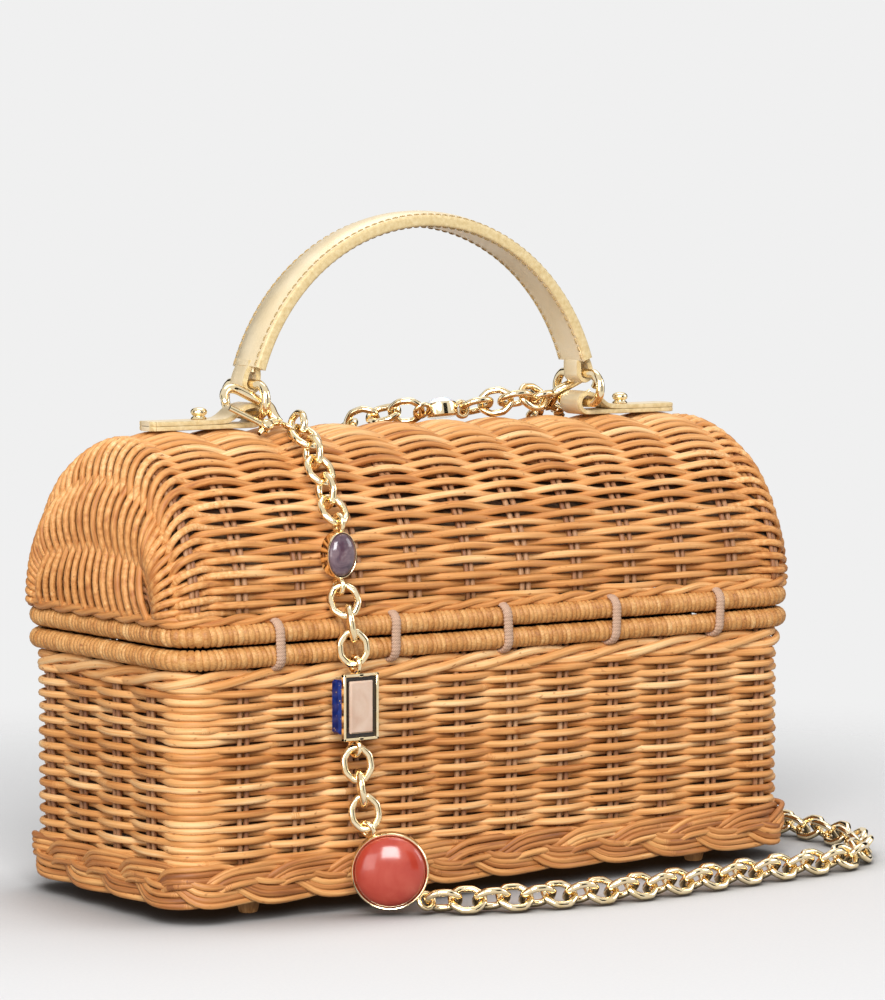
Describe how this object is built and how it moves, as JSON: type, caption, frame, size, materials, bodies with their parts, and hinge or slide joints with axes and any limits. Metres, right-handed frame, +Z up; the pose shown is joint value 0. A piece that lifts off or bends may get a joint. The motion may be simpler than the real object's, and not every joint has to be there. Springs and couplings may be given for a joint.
{
  "type": "top-handle wicker bag",
  "caption": "Trunk-shaped wicker bag with a hinged domed lid, a leather top handle on metal rings and a gold chain strap with set stones.",
  "frame": {"origin": "under the middle of the basket, at the level of the feet", "axes": "+X along the bag to the right in the picture, +Y to the closing side away from the hinge, +Z up"},
  "size_m": [0.2757, 0.1676, 0.2161],
  "materials": {
    "rattan": "peeled rattan, satin",
    "cane_wrap": "hoop wrapped in fine cane, satin",
    "cord": "twisted paper cord, matte",
    "cloth": "plain cotton lining, matte",
    "turned_wood": "turned and waxed",
    "gold_leather": "smooth leather with a pale gold foil",
    "light_gold": "polished, light gold plating",
    "amethyst_stone": "polished cabochon",
    "lapis": "polished",
    "cream_stone": "polished",
    "coral_stone": "polished cabochon",
    "white_stone": "polished cabochon"
  },
  "bodies": {
    "base": {"base_weave": "rattan", "bottom_border": "rattan", "base_floor": "rattan", "base_lining": "cloth", "base_rim": "cane_wrap", "foot_back_left": "turned_wood", "foot_back_right": "turned_wood", "foot_front_left": "turned_wood", "foot_front_right": "turned_wood", "hinge_tie_1": "cord", "hinge_tie_2": "cord", "hinge_tie_3": "cord", "hinge_tie_4": "cord", "hinge_tie_5": "cord", "chain_hinge": "light_gold", "block_body": "lapis", "block_frame": "light_gold", "block_panel": "cream_stone", "chain_wall": "light_gold", "coral_setting": "light_gold", "coral": "coral_stone", "chain_floor": "light_gold", "chain_rise": "light_gold", "snap_lower": "light_gold"},
    "lid": {"lid_weave": "rattan", "lid_rim": "cane_wrap", "lid_lining": "cloth", "tab_left": "gold_leather", "tab_right": "gold_leather", "stud_left": "light_gold", "stud_right": "light_gold", "clasp_left": "light_gold", "clasp_right": "light_gold", "clasp_eye_left": "light_gold", "clasp_eye_right": "light_gold", "chain_lid": "light_gold", "amethyst_setting": "light_gold", "amethyst": "amethyst_stone", "pale_setting": "light_gold", "pale_stone": "white_stone", "chain_top": "light_gold", "closure_tongue": "gold_leather", "closure_rivet": "light_gold", "snap_upper": "light_gold"},
    "handle": {"handle_strap": "gold_leather", "handle_loop_left": "gold_leather", "handle_loop_right": "gold_leather", "ring_left": "light_gold", "ring_right": "light_gold"},
    "gate_left": {"clasp_gate_left": "light_gold"},
    "gate_right": {"clasp_gate_right": "light_gold"}
  },
  "joints": [
    {"name": "lid_hinge", "type": "hinge", "parent": "base", "child": "lid", "pos_m": [0, -0.0504, 0.0844], "axis": [1, 0, 0], "range_deg": [0, 100], "deforming": ["hinge_tie_1", "hinge_tie_2", "hinge_tie_3", "hinge_tie_4", "hinge_tie_5", "chain_hinge", "chain_rise"]},
    {"name": "handle_rock", "type": "hinge", "parent": "lid", "child": "handle", "pos_m": [0, 0, 0.15193], "axis": [1, 0, 0], "range_deg": [-4, 4]},
    {"name": "gate_left_swing", "type": "hinge", "parent": "lid", "child": "gate_left", "pos_m": [-0.06636, -0.01264, 0.14888], "axis": [0, 0.8192, -0.5736], "range_deg": [0, 12]},
    {"name": "gate_right_swing", "type": "hinge", "parent": "lid", "child": "gate_right", "pos_m": [0.06636, 0.01264, 0.14888], "axis": [0, -0.8192, -0.5736], "range_deg": [0, 12]}
  ]
}
